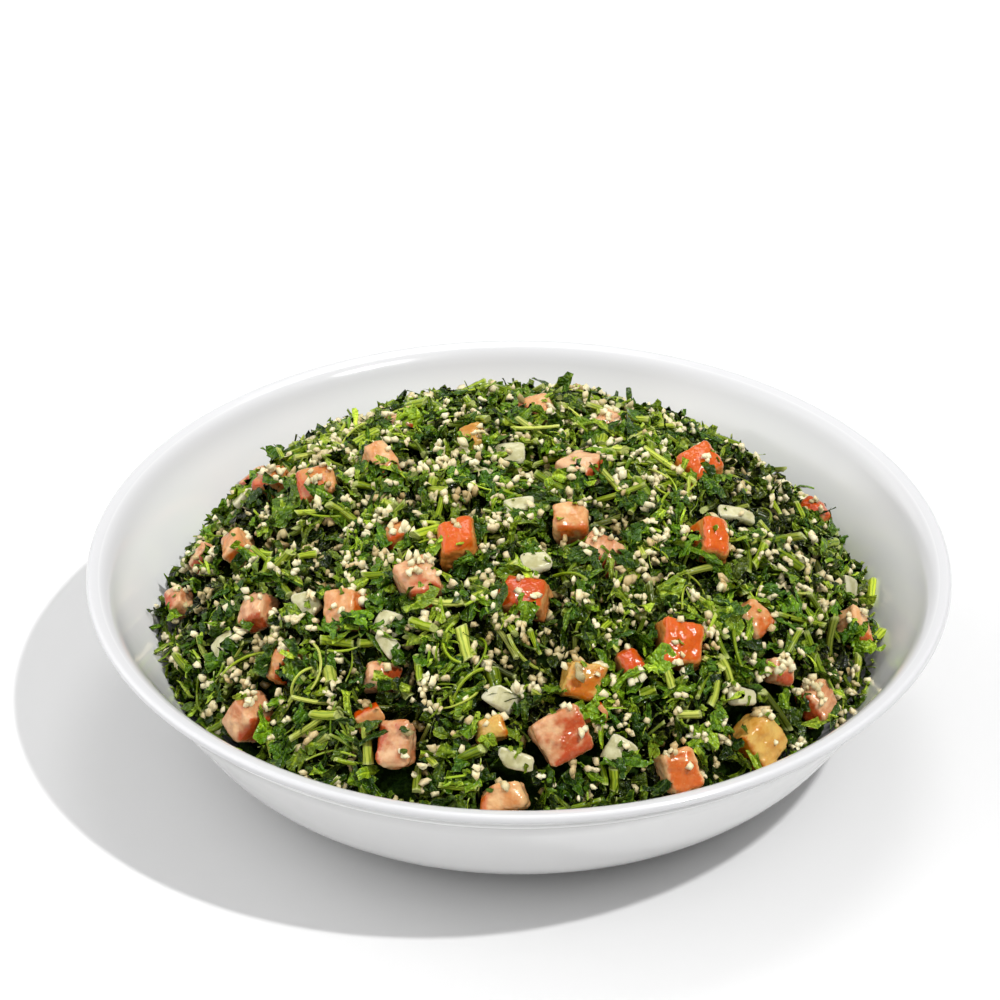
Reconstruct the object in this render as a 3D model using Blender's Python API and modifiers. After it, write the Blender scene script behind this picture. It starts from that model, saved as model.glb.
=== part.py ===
"""Tabbouleh salad heaped in a shallow white bowl.

Metres, +Z up, with the origin at the middle of the bowl's foot, on the table. The front of
the dish is -Y. The bowl is a turned shape. The chopped parsley, stems and bulgur are one lumpy
heap that fills the bowl and rises over its rim. The diced tomato and onion that lie in its
surface are pieces of their own, each in a pocket of the heap.
"""

import math
import random
from collections import namedtuple

import bmesh
import bpy
from mathutils import Matrix, Vector, noise

MM = 0.001

# Bowl
RIM_RADIUS = 115 * MM
BOWL_HEIGHT = 50 * MM
WALL_THICKNESS = 3 * MM
WALL_ANGLE = math.radians(58)  # of the flared wall, above the table
FILLET_RADIUS = 30 * MM  # outer curve from the base into the wall
BASE_HEIGHT = 3 * MM  # underside of the base, above the table
FOOT_OUTER = 57 * MM
FOOT_INNER = 50 * MM
LIP_WIDTH = 4.4 * MM
LIP_THICKNESS = 3.2 * MM
LIP_OVERHANG = 2.5 * MM  # from the wall's outer face to the lip's edge
BAND_DROP = 2.6 * MM  # height of the thin band under the lip
BAND_PROUD = 1.2 * MM  # how far that band stands out from the wall
BOWL_STEPS = 52

# Heap of salad
PEAK_HEIGHT = 71.5 * MM
EDGE_RADIUS = 96.8 * MM
EDGE_WANDER = 1.5 * MM  # how far the heap's edge wanders in and out
DOME_POWER = 3.5  # 2 is a parabola; more makes a flatter top and steeper sides
LUMP_HEIGHT = 1.7 * MM
LUMP_LENGTH = 13 * MM
CRUMB_HEIGHT = 0.9 * MM
CRUMB_LENGTH = 6 * MM
HEAP_GAP = 0.6 * MM  # between the heap and the bowl
TOP_SHARE = 0.8  # share of the heap's faces that lie on its open surface
HEAP_DETAIL = 0.34  # share of the icosphere's faces that the heap keeps

# Dice
POCKET_GAP = 0.35 * MM  # round each die in its pocket
DIE_ROUNDING = 0.8 * MM
CORNER_JITTER = 0.09  # of a die's size
SKIN_CROWN = 0.09  # how far a tomato die's outer face bulges, of its thickness
ONION_ARCH = 14 * MM  # radius that an onion layer curves to

# A die lies at (x, y) on the heap, in mm. Its size is along, across and thick, in mm. It is
# turned about the heap's normal, then leaned towards the viewer and to the right, in degrees.
# Rise is the share of its thickness that stands out of the heap.
Die = namedtuple("Die", "tone at size turn lean rise")

TOMATOES = (
    # top and middle
    Die("orange", (-16, -29.5), (12, 11.5, 9), 12, (14, 0), 0.55),
    Die("red", (-53, 3), (11, 11, 10), 8, (20, 6), 0.55),
    Die("salmon", (-37, 9), (9, 10, 7), 32, (16, 10), 0.5),
    Die("pink", (16, 4), (11, 10, 9), -35, (8, 0), 0.5),
    Die("orange", (47, 9), (13, 10, 10), 42, (18, -4), 0.6),
    Die("salmon", (13.5, -21), (9.5, 9, 8), 3, (20, 0), 0.5),
    Die("pink", (21, -32.5), (11, 9, 8), -24, (10, 6), 0.45),
    Die("orange", (50, -21), (9.5, 10, 8), 4, (20, 4), 0.5),
    Die("red", (1.5, -48.5), (13, 9, 8), -8, (6, 0), 0.4),
    Die("pink", (-24.5, -44), (11.5, 10.5, 9), 22, (10, 0), 0.5),
    Die("salmon", (-44, -47.5), (9.5, 11, 8), -4, (16, -4), 0.5),
    Die("orange", (40.5, -56), (12, 12, 8), 6, (12, 0), 0.5),
    Die("amber", (16, -69), (11, 9, 7), -6, (4, 6), 0.45),
    Die("red", (-30.5, -23), (9, 7, 7), 15, (0, 0), 0.3),
    Die("red", (28, -63.5), (6, 7, 6), 30, (0, 0), 0.35),
    # towards the back, as far as the crest
    Die("salmon", (5, 35), (10.5, 9.5, 8), 18, (22, -8), 0.55),
    Die("pink", (24, 29), (10, 9.5, 8), -28, (18, 0), 0.5),
    Die("amber", (-12.5, 21), (9, 8, 7), 25, (10, 0), 0.35),
    Die("pink", (-33, 35), (9, 7, 7), 10, (10, 0), 0.3),
    Die("red", (-67, 20), (9, 8, 7), -20, (12, 0), 0.4),
    # round the edge that faces the viewer
    Die("pink", (-68.5, -60.5), (12, 9, 8), 24, (4, -8), 0.45),
    Die("pink", (-30.5, -79), (8.5, 11, 7), -8, (0, 0), 0.4),
    Die("pink", (11, -81), (13, 12, 9), 28, (6, 0), 0.45),
    Die("salmon", (-3.5, -91), (12, 7, 7), 8, (-6, 0), 0.35),
    Die("salmon", (40, -81), (11, 10.5, 8), 24, (0, 0), 0.4),
    Die("amber", (60.5, -68), (11, 10.5, 8), -28, (2, 4), 0.4),
    Die("salmon", (-75, -5.5), (7, 10, 7), 12, (6, 0), 0.45),
    Die("pink", (-85.5, 6), (8, 7, 6), 0, (0, 0), 0.4),
    Die("pink", (-91, -6), (6, 9, 6), 6, (0, 10), 0.45),
    Die("pink", (-68, -34), (10, 8, 6), -16, (0, 0), 0.3),
    Die("red", (-60, -53.5), (6, 9, 7), -30, (0, 0), 0.3),
    Die("pink", (-35, -65), (9, 7, 7), -12, (0, 0), 0.3),
    Die("salmon", (59.5, -42), (10.5, 7.5, 7), -34, (6, 0), 0.4),
    Die("pink", (66.5, -50), (8.5, 6.5, 6), 14, (0, 0), 0.4),
    Die("salmon", (89, -17), (9, 9, 7), 6, (0, 0), 0.4),
    Die("pink", (76.5, -49.5), (11.5, 9, 7), -36, (0, 0), 0.4),
    Die("amber", (-6.5, -79.5), (8, 6, 7), 12, (0, 0), 0.3),
    # behind the crest
    Die("red", (81, 26), (8, 8, 7), 26, (0, 0), 0.45),
    Die("orange", (-8, 85), (11, 10, 8), 16, (0, 0), 0.3),
    Die("pink", (38, 77), (10, 10, 8), -18, (0, 0), 0.3),
    Die("salmon", (-52, 70), (10, 9, 7), 38, (0, 0), 0.25),
    Die("pink", (-74, 50), (10, 9, 7), -10, (0, 0), 0.3),
)
ONIONS = (
    Die("onion", (-3, 12.5), (9, 8.5, 3), 10, (26, -4), 0.6),
    Die("onion", (-10, 1), (9, 7, 2.4), -14, (12, 4), 0.6),
    Die("onion", (4.5, -39), (7.5, 6.5, 3), 12, (16, 0), 0.9),
    Die("onion", (-53.5, -42), (7, 8.5, 2.6), 8, (14, 6), 0.6),
    Die("onion", (-32.5, -52.5), (7, 7, 2.4), -22, (10, 0), 0.6),
    Die("onion", (-76, -37.5), (7, 6, 2.4), 16, (0, 0), 0.6),
    Die("onion", (-0.5, -85.5), (9, 5, 2.4), -14, (8, 0), 0.9),
    Die("onion", (25, -81), (7.5, 8, 2.6), -18, (0, 0), 0.6),
    Die("onion", (56, -61.5), (8, 5, 2.4), 12, (0, 0), 0.7),
    Die("onion", (68.5, -28), (7.5, 6, 2.4), -12, (0, 0), 0.6),
    Die("onion", (-75, 25), (7, 6, 2.6), 14, (0, 0), 0.6),
    Die("onion", (58, -5), (12, 4.5, 2.4), 4, (10, 0), 0.6),
    Die("onion", (14, 80), (8, 7, 2.6), -20, (0, 0), 0.6),
    Die("onion", (-31, 82), (8, 6.5, 2.4), 30, (0, 0), 0.6),
)

# tone: colour, roughness
FINISHES = {
    "bowl": ((0.86, 0.86, 0.85), 0.2),
    "parsley": ((0.09, 0.2, 0.03), 0.45),
    "orange": ((0.8, 0.2, 0.03), 0.25),
    "red": ((0.68, 0.1, 0.05), 0.25),
    "salmon": ((0.78, 0.38, 0.22), 0.3),
    "pink": ((0.74, 0.34, 0.25), 0.3),
    "amber": ((0.8, 0.42, 0.13), 0.3),
    "onion": ((0.78, 0.8, 0.62), 0.3),
}


def clear_scene():
    for old in list(bpy.data.objects):
        bpy.data.objects.remove(old)


def new_collection(name):
    made = bpy.data.collections.new(name)
    bpy.context.scene.collection.children.link(made)
    return made


def new_material(name):
    colour, roughness = FINISHES[name]
    made = bpy.data.materials.new(name)
    made.use_nodes = True
    shader = made.node_tree.nodes["Principled BSDF"]
    shader.inputs["Base Color"].default_value = (*colour, 1)
    shader.inputs["Roughness"].default_value = roughness
    shader.inputs["Metallic"].default_value = 0
    made.diffuse_color = (*colour, 1)
    return made


def new_object(name, bm, collection, material=None):
    """An object with the mesh in bm, in its collection."""
    mesh = bpy.data.meshes.new(name)
    bm.to_mesh(mesh)
    bm.free()
    if material:
        mesh.materials.append(material)
    made = bpy.data.objects.new(name, mesh)
    collection.objects.link(made)
    return made


def arc(centre, radius, start, end, steps):
    """Points round a centre, from one angle to another, both ends included."""
    angles = [start + (end - start) * i / steps for i in range(steps + 1)]
    return [(centre[0] + radius * math.cos(a), centre[1] + radius * math.sin(a)) for a in angles]


# Where the wall's outer face would meet the rim's top, and the centre of the base's fillet.
WALL_TOP_RADIUS = RIM_RADIUS - LIP_OVERHANG + LIP_THICKNESS / math.tan(WALL_ANGLE)
FILLET_Z = BASE_HEIGHT + FILLET_RADIUS
FILLET_R = (
    WALL_TOP_RADIUS
    - (BOWL_HEIGHT - FILLET_Z + FILLET_RADIUS * math.cos(WALL_ANGLE)) / math.tan(WALL_ANGLE)
    - FILLET_RADIUS * math.sin(WALL_ANGLE)
)


def wall_radius(z, depth=0.0):
    """Radius of the straight part of the wall at height z, that far inside its outer face."""
    outer = WALL_TOP_RADIUS - (BOWL_HEIGHT - z) / math.tan(WALL_ANGLE)
    return outer - depth / math.sin(WALL_ANGLE)


def inside_height(r, gap):
    """Height of the bowl's inside at radius r, raised by a gap at right angles to it."""
    radius = FILLET_RADIUS - WALL_THICKNESS - gap
    across = r - FILLET_R
    if across <= 0:
        return FILLET_Z - radius
    if across < radius * math.sin(WALL_ANGLE):
        return FILLET_Z - math.sqrt(radius**2 - across**2)
    top = WALL_TOP_RADIUS - (WALL_THICKNESS + gap) / math.sin(WALL_ANGLE)
    return BOWL_HEIGHT - (top - r) * math.tan(WALL_ANGLE)


def bowl_profile():
    """The bowl's half section, from the inside's middle up, over the lip and down the outside."""
    bottom = -math.pi / 2
    inner = arc(
        (FILLET_R, FILLET_Z), FILLET_RADIUS - WALL_THICKNESS, bottom, bottom + WALL_ANGLE, 4
    )
    outer = arc((FILLET_R, FILLET_Z), FILLET_RADIUS, bottom + WALL_ANGLE, bottom, 4)
    soft = 0.4 * LIP_THICKNESS
    lip_top = BOWL_HEIGHT - soft
    lip_bottom = BOWL_HEIGHT - LIP_THICKNESS
    lip = arc((RIM_RADIUS - LIP_WIDTH + soft, lip_top), soft, math.pi, math.pi / 2, 2)
    lip += arc((RIM_RADIUS - soft, lip_top), soft, math.pi / 2, 0, 2)
    lip += arc((RIM_RADIUS - soft, lip_bottom + soft), soft, 0, bottom, 2)
    band_bottom = lip_bottom - BAND_DROP
    band = [
        (wall_radius(lip_bottom) + 0.6 * BAND_PROUD, lip_bottom - 0.2 * BAND_DROP),
        (wall_radius(band_bottom) + BAND_PROUD, band_bottom + 0.25 * BAND_DROP),
        (wall_radius(band_bottom), band_bottom),
    ]
    foot = [
        (FOOT_OUTER + 0.2 * BASE_HEIGHT, BASE_HEIGHT),
        (FOOT_OUTER - 0.1 * BASE_HEIGHT, 0),
        (FOOT_INNER + 0.1 * BASE_HEIGHT, 0),
        (FOOT_INNER - 0.2 * BASE_HEIGHT, BASE_HEIGHT),
    ]
    floor = [(0, BASE_HEIGHT + WALL_THICKNESS)]
    return floor + inner + lip + band + outer + foot + [(0, BASE_HEIGHT)]


def make_bowl(collection):
    """The profile turned round the upright axis."""
    bm = bmesh.new()
    points = [bm.verts.new((r, 0, z)) for r, z in bowl_profile()]
    for a, b in zip(points, points[1:]):
        bm.edges.new((a, b))
    bowl = new_object("bowl", bm, collection, new_material("bowl"))
    screw = bowl.modifiers.new("turn", "SCREW")
    screw.axis = "Z"
    screw.steps = BOWL_STEPS
    screw.render_steps = BOWL_STEPS
    screw.use_merge_vertices = True
    screw.merge_threshold = 1e-5
    screw.use_smooth_shade = True


def edge_radius(angle):
    """The heap's edge wanders in and out along the bowl's wall."""
    around = Vector((2 * math.cos(angle), 2 * math.sin(angle), 5))
    return EDGE_RADIUS + EDGE_WANDER * noise.noise(around)


def lumps(x, y):
    """Relief of the heap's surface: lumps of salad with smaller crumbs on them."""
    lump = noise.noise(Vector((x / LUMP_LENGTH, y / LUMP_LENGTH, 1)))
    crumb = noise.noise(Vector((x / CRUMB_LENGTH, y / CRUMB_LENGTH, 7)))
    return LUMP_HEIGHT * lump + CRUMB_HEIGHT * crumb


def heap_height(x, y):
    """Height of the heap's open surface above the table."""
    edge = edge_radius(math.atan2(y, x))
    share = min(1, math.hypot(x, y) / edge)
    foot = inside_height(edge, HEAP_GAP)
    return foot + (PEAK_HEIGHT - foot) * (1 - share**DOME_POWER) + lumps(x, y) * (1 - share**8)


def heap_normal(x, y):
    """Upward normal of the dome under the lumps."""
    share = math.hypot(x, y) / EDGE_RADIUS
    foot = inside_height(EDGE_RADIUS, HEAP_GAP)
    slope = DOME_POWER * (PEAK_HEIGHT - foot) * share ** (DOME_POWER - 1) / EDGE_RADIUS
    return Vector((slope * x, slope * y, math.hypot(x, y) or 1)).normalized()


def make_heap(collection):
    """An icosphere drawn out into the dome above and the bowl's inside below."""
    bm = bmesh.new()
    bmesh.ops.create_icosphere(bm, subdivisions=5, radius=1)
    for vert in bm.verts:
        angle = math.atan2(vert.co.y, vert.co.x)
        edge = edge_radius(angle)
        share = (1 - vert.co.z) / 2
        if share < TOP_SHARE:
            r = edge * math.sqrt(share / TOP_SHARE)
            z = heap_height(r * math.cos(angle), r * math.sin(angle))
        else:
            r = edge * math.sqrt((1 - share) / (1 - TOP_SHARE))
            z = inside_height(r, HEAP_GAP)
        vert.co = (r * math.cos(angle), r * math.sin(angle), z)
    heap = new_object("tabbouleh_heap", bm, collection, new_material("parsley"))
    thin = heap.modifiers.new("thin", "DECIMATE")
    thin.ratio = HEAP_DETAIL
    return heap


def tomato_shape(size, seed):
    """A hand-cut cube: uneven corners and a crowned outer face, which is the tomato's skin."""
    rng = random.Random(seed)
    bm = bmesh.new()
    bmesh.ops.create_cube(bm, size=1)
    narrowing = rng.uniform(0.72, 0.95)
    for vert in bm.verts:
        shift = Vector(rng.uniform(-CORNER_JITTER, CORNER_JITTER) for _ in range(3))
        if vert.co.z > 0:
            vert.co.x *= narrowing
        vert.co += shift
    skin = max(bm.faces, key=lambda face: face.calc_center_median().z)
    crown = bmesh.ops.poke(bm, faces=[skin])["verts"][0]
    crown.co.z += SKIN_CROWN
    bmesh.ops.triangulate(bm, faces=bm.faces)
    bmesh.ops.scale(bm, vec=size, verts=bm.verts)
    return bm


def onion_shape(size, seed):
    """A cut piece of one onion layer: a thick plate, arched along its length."""
    rng = random.Random(seed)
    along, across, thick = size
    bm = bmesh.new()
    bmesh.ops.create_cube(bm, size=1)
    lengthways = [edge for edge in bm.edges if abs((edge.verts[0].co - edge.verts[1].co).x) > 0.5]
    bmesh.ops.subdivide_edges(bm, edges=lengthways, cuts=1, use_grid_fill=True)
    bmesh.ops.triangulate(bm, faces=bm.faces)
    taper = rng.uniform(0.7, 0.95)
    skew = rng.uniform(-0.15, 0.15)
    for vert in bm.verts:
        x, y, z = vert.co
        width = across * (1 + (taper - 1) * (x + 0.5))
        swing = x * along / ONION_ARCH
        radius = ONION_ARCH + z * thick
        vert.co = (
            radius * math.sin(swing) + skew * y * across,
            y * width,
            radius * math.cos(swing) - ONION_ARCH,
        )
    return bm


def die_place(die):
    """Where a die lies: its matrix on the heap's surface."""
    x, y = (value * MM for value in die.at)
    up = heap_normal(x, y)
    forward, right = (math.radians(value) for value in die.lean)
    stand = up.to_track_quat("Z", "Y").to_matrix()
    upright = stand @ Matrix.Rotation(-math.atan2(stand[1][0], stand[0][0]), 3, "Z")
    lean = Matrix.Rotation(forward, 3, "X") @ Matrix.Rotation(right, 3, "Y")
    turn = Matrix.Rotation(math.radians(die.turn), 3, "Z")
    sink = die.size[2] * MM * (die.rise - 0.5)
    centre = Vector((x, y, heap_height(x, y))) + up * sink
    return Matrix.Translation(centre) @ (lean @ upright @ turn).to_4x4()


def make_dice(dice, kind, shape, parts, cutters, materials):
    """Each die, and the cutter of its pocket, which is the same die a little larger."""
    for number, die in enumerate(dice, 1):
        name = f"{kind}_{number:02d}" if die.tone == kind else f"{kind}_{die.tone}_{number:02d}"
        for grown, collection in ((0, parts), (2 * POCKET_GAP, cutters)):
            size = [side * MM + grown for side in die.size]
            label = name if collection == parts else f"pocket_{name}"
            made = new_object(label, shape(size, number), collection, materials[die.tone])
            made.matrix_world = die_place(die)
            made.hide_render = collection == cutters
            if collection == cutters:
                made.display_type = "WIRE"
                continue
            bevel = made.modifiers.new("round", "BEVEL")
            bevel.width = min(DIE_ROUNDING, 0.25 * min(size))
            bevel.segments = 1
            bevel.limit_method = "ANGLE"


def cut_pockets(heap, cutters):
    boolean = heap.modifiers.new("pockets", "BOOLEAN")
    boolean.operation = "DIFFERENCE"
    boolean.operand_type = "COLLECTION"
    boolean.collection = cutters


def main():
    clear_scene()
    parts = new_collection("tabbouleh_salad")
    cutters = new_collection("pocket_cutters")
    make_bowl(parts)
    heap = make_heap(parts)
    tones = {die.tone for die in TOMATOES + ONIONS}
    materials = {tone: new_material(tone) for tone in sorted(tones)}
    make_dice(TOMATOES, "tomato", tomato_shape, parts, cutters, materials)
    make_dice(ONIONS, "onion", onion_shape, parts, cutters, materials)
    cut_pockets(heap, cutters)


main()
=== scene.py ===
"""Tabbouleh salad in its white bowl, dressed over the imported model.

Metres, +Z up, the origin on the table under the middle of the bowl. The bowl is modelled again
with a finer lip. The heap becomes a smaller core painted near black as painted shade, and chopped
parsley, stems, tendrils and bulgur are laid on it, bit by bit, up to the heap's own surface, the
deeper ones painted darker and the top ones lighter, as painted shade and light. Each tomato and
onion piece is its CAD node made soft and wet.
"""

import math
import random

import bmesh
import bpy
import numpy as np
from mathutils import Matrix, Vector
from mathutils.bvhtree import BVHTree


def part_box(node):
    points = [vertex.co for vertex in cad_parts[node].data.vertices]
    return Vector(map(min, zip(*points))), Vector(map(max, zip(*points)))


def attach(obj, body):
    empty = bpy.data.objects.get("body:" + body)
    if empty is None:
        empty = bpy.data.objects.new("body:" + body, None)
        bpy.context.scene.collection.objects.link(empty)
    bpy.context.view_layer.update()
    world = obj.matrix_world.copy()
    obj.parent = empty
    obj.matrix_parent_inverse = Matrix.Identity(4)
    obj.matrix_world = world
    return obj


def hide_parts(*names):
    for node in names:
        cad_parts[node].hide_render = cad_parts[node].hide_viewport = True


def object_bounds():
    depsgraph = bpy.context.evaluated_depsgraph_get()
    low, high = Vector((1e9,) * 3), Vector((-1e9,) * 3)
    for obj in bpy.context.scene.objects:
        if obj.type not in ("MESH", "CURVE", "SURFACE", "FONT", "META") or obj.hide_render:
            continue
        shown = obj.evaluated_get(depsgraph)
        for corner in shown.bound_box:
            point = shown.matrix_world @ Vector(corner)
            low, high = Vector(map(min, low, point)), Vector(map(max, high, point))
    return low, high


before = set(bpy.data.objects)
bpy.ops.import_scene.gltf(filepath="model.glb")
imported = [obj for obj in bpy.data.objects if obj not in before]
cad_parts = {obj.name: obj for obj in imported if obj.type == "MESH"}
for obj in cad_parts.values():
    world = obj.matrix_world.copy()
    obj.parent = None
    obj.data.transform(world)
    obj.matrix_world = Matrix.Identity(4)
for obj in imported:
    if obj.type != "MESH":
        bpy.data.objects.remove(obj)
CAD_BOX = [list(corner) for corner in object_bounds()]

MM = 0.001
SEED = 20

# Bowl, from its node's box and the sizes of its section
BOWL_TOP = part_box("bowl")[1].z
RIM_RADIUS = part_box("bowl")[1].x
WALL_THICKNESS = 3 * MM
WALL_ANGLE = math.radians(58)
FILLET_RADIUS = 30 * MM
BASE_HEIGHT = 3 * MM
FOOT_OUTER = 57 * MM
FOOT_INNER = 50 * MM
LIP_THICKNESS = 3.2 * MM  # of the solid's lip, and how far it stands out from the wall
LIP_OVERHANG = 2.5 * MM
LIP_BEAD = 1.2 * MM  # radius of the round lip made here, and how far it is set down
LIP_DROP = 0.9 * MM
BAND_TOP = 6.8 * MM  # of the thin band under the lip, down from the rim
BAND_BOTTOM = 9.1 * MM
BAND_PROUD = 0.55 * MM
BOWL_SIDES = 160
MERGE = 1e-6  # distance under which two corners become one

# Heap
HEAP_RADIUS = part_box("tabbouleh_heap")[1].x
CORE_DEPTH = 5.4 * MM  # of the core under the heap's surface
CORE_GRAIN = 1.7 * MM
NET_STEP = 0.6 * MM  # spacing of the net that heights are kept on
NET_HALF = 112 * MM
POCKET_REACH = 9.6 * MM  # half the width of what is closed over the dice pockets
HOLLOW_DEPTH = 4.4 * MM  # of the gaps between clumps, and how far apart they are
HOLLOW_SPACING = 6.5 * MM
HOLLOW_FROM = 0.52  # where in the soft field a gap begins, and how soon it is at full depth
HOLLOW_EASE = 0.16
TONE_SPACING = 9 * MM  # of the lighter and darker clumps of leaf
SHADE_DEPTH = 3.6 * MM  # under the heap's surface, where the painted shade on the leaf is darkest
FLOW_SPACING = 17 * MM  # over which long bits turn from one direction to another
EDGE_BAND = 8 * MM  # round the heap, where there is nothing above to shade the leaf
HEADROOM = 1.6 * MM  # that a loose bit may stand over the CAD's own top
DEEP_SHADE = 0.88  # how much darker the leaf is painted at the shade depth, as painted shade
OPEN_SHADE = 1.2  # least lightness painted on the bits at the heap's open edge, lifting the painted shade there
LEAF_LIGHT = (0.45, 1.1)  # of the darkest clumps of leaf, and what the lightest have over it
WALL_SLACK = 2 * MM  # that a bit may go into the bowl's wall, and past the heap's edge
EDGE_REACH = 4 * MM
SAG = (-1.4 * MM, 0.9 * MM)  # how far soft leaf follows the ground under it, down and up
SAG_GAP = 0.15 * MM
GROWTH = (0.85, 1.3)  # least and most that a bit's template is scaled, and a grain's
GRAIN_GROWTH = (0.9, 1.45)
LAY_TRIES = 12
DIE_CLEAR = 2.5 * MM  # height over the heap at which a die is kept fully clear of leaf
DIE_LEAST_CLEAR = 0.25  # how clear the lowest dice are kept
DIE_REACH = 4 * MM  # over which a die's highest part counts for the rest of it
TUCKED_BITS = 2400  # per metre of a die's half width and depth
CLUSTERS = 200  # of bulgur, the share of the grain that is in them, and their spread
CLUSTER_SHARE = 0.45
CLUSTER_SPREAD = 4.5 * MM
GRAIN_SKIPPED = 0.25  # share of the grain left out at the middle, and what the back adds
GRAIN_SKIPPED_BACK = 0.45
TOMATO_UNEVEN = (1.2 * MM, 0.5 * MM)  # height of a die's lumps and of its pits
ONION_UNEVEN = (0.5 * MM, 0.2 * MM)
LUMP_SPACING = 4.5 * MM
PIT_SPACING = 1.4 * MM
DIE_GRAIN = 0.75 * MM

# Light and camera
SUN_HEIGHT = math.radians(59)
SUN_SIDE = math.radians(-30)  # from +X, towards the viewer
SUN_POWER = 2.2
SUN_WIDTH = math.radians(2)
SKY_LOW = 0.34  # brightness of the studio at table height, and overhead
SKY_TOP = 0.84
SKY_LEFT = 1.8  # what the left side of the studio adds
LAMP = (0.1, 0.42, 0.9)  # towards the soft lamp overhead, and its brightness and half width
LAMP_GLOW = 5.0
LAMP_REACH = math.radians(11)
EYE_HEIGHT = math.radians(33.3)
EYE_DISTANCE = 0.85
LENS = 114.6
FRAME_SHIFT = (-5.05 * MM, 12.95 * MM)  # of the aim from the rim's centre, right and up

# Linear colours
GLAZE_TONES = ((0.74, 0.74, 0.738), (0.765, 0.765, 0.762))
# grey of the painted shade on the bowl's lip and high on its inside
LIP_PAINTED_SHADE = (0.6, 0.6, 0.61)
FLOOR_TONE = (0.7, 0.7, 0.7, 1)
LEAF_TONES = (
    (0.014, 0.045, 0.001),
    (0.03, 0.082, 0.0015),
    (0.062, 0.13, 0.002),
    (0.13, 0.21, 0.006),
    (0.24, 0.33, 0.02),
)
STEM_TONES = (
    (0.15, 0.23, 0.004),
    (0.27, 0.38, 0.01),
    (0.4, 0.5, 0.03),
    (0.54, 0.6, 0.1),
)
BULGUR_TONES = (
    (0.62, 0.53, 0.29),
    (0.75, 0.67, 0.41),
    (0.86, 0.8, 0.54),
    (0.56, 0.43, 0.21),
)


# --- Modelling helpers


def select_none():
    if bpy.context.mode != "OBJECT":
        done()
    bpy.ops.object.select_all(action="DESELECT")


def edit(piece):
    select_none()
    piece.select_set(True)
    bpy.context.view_layer.objects.active = piece
    bpy.ops.object.mode_set(mode="EDIT")
    take_all()


def done():
    """Leaves edit mode."""
    bpy.ops.object.mode_set(mode="OBJECT")


def rotate(angle, axis):
    """In edit mode: turns the selection about an axis through the origin."""
    bpy.ops.transform.rotate(value=angle, orient_axis=axis, center_override=(0, 0, 0))


def squeeze(x, y, z):
    """In edit mode: scales the selection about the origin."""
    bpy.ops.transform.resize(value=(x, y, z), center_override=(0, 0, 0))


def move(x, y, z):
    """In edit mode: moves the selection."""
    bpy.ops.transform.translate(value=(x, y, z))


def take_all():
    """In edit mode: selects everything."""
    bpy.ops.mesh.select_all(action="SELECT")


def jitter(rng, offset):
    """In edit mode: moves each selected vertex a little, by chance."""
    bpy.ops.transform.vertex_random(
        offset=offset, uniform=1, normal=0, seed=rng.randrange(999)
    )


def choose(test):
    """In edit mode: selects only the vertices that pass the test."""
    mesh = bpy.context.edit_object.data
    bm = bmesh.from_edit_mesh(mesh)
    chosen = [vert for vert in bm.verts if test(vert)]
    for vert in bm.verts:
        vert.select_set(False)
    bm.select_flush(False)
    for vert in chosen:
        vert.select_set(True)
    bm.select_flush(True)
    bmesh.update_edit_mesh(mesh)


def mark(name, test):
    """In edit mode: gives the vertices that pass the test 1 in a named attribute, the rest 0."""
    mesh = bpy.context.edit_object.data
    bm = bmesh.from_edit_mesh(mesh)
    layer = bm.verts.layers.float.get(name) or bm.verts.layers.float.new(name)
    for vert in bm.verts:
        vert[layer] = float(test(vert))
    bmesh.update_edit_mesh(mesh)


def apply_modifier(piece, kind, **settings):
    bpy.context.view_layer.objects.active = piece
    made = piece.modifiers.new(kind.lower(), kind)
    for key, value in settings.items():
        setattr(made, key, value)
    bpy.ops.object.modifier_apply(modifier=made.name)


def add_piece(name, data):
    """A new object in the scene."""
    made = bpy.data.objects.new(name, data)
    bpy.context.scene.collection.objects.link(made)
    return made


def paint(mesh, name, rule):
    """Gives each vertex a number from 0 to 1, by its normal, in a named attribute."""
    layer = mesh.attributes.new(name, "FLOAT", "POINT")
    for vert, value in zip(mesh.vertices, layer.data):
        value.value = min(1, max(0, rule(vert.normal)))


def named(piece, name):
    piece.name = name
    piece.data.name = name
    return piece


def finish_piece(piece, slot, material, *nodes):
    """The piece takes its material, rides on the bowl's body and stands for the CAD nodes."""
    piece.data.materials.clear()
    piece.data.materials.append(material)
    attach(piece, "root")
    if nodes:
        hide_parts(*nodes)


# --- Material helpers


def new_finish(name, **values):
    """A Principled material, its tree and its shader."""
    made = bpy.data.materials.new(name)
    made.use_nodes = True
    shader = made.node_tree.nodes["Principled BSDF"]
    for key, value in values.items():
        shader.inputs[key.replace("_", " ")].default_value = value
    return made, made.node_tree, shader


def add_node(tree, kind, inputs=(), **settings):
    """A node with its settings, and its inputs by name or number: a value or another's output."""
    made = tree.nodes.new(kind)
    for key, value in settings.items():
        setattr(made, key, value)
    for key, value in dict(inputs).items():
        socket = made.inputs[key]
        if isinstance(value, bpy.types.NodeSocket):
            tree.links.new(value, socket)
        else:
            socket.default_value = value
    return made


def noise(tree, coords, scale, detail=3.0, rough=0.55):
    """Soft noise from 0 to 1. The scale is how many patches it has in a metre."""
    inputs = {"Vector": coords, "Scale": scale, "Detail": detail, "Roughness": rough}
    return add_node(tree, "ShaderNodeTexNoise", inputs).outputs["Fac"]


def cells(tree, coords, scale, feature="F1"):
    """The distance to the nearest cell's middle, or to its edge. The scale is as for noise."""
    inputs = {"Vector": coords, "Scale": scale}
    return add_node(tree, "ShaderNodeTexVoronoi", inputs, feature=feature).outputs["Distance"]


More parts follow.
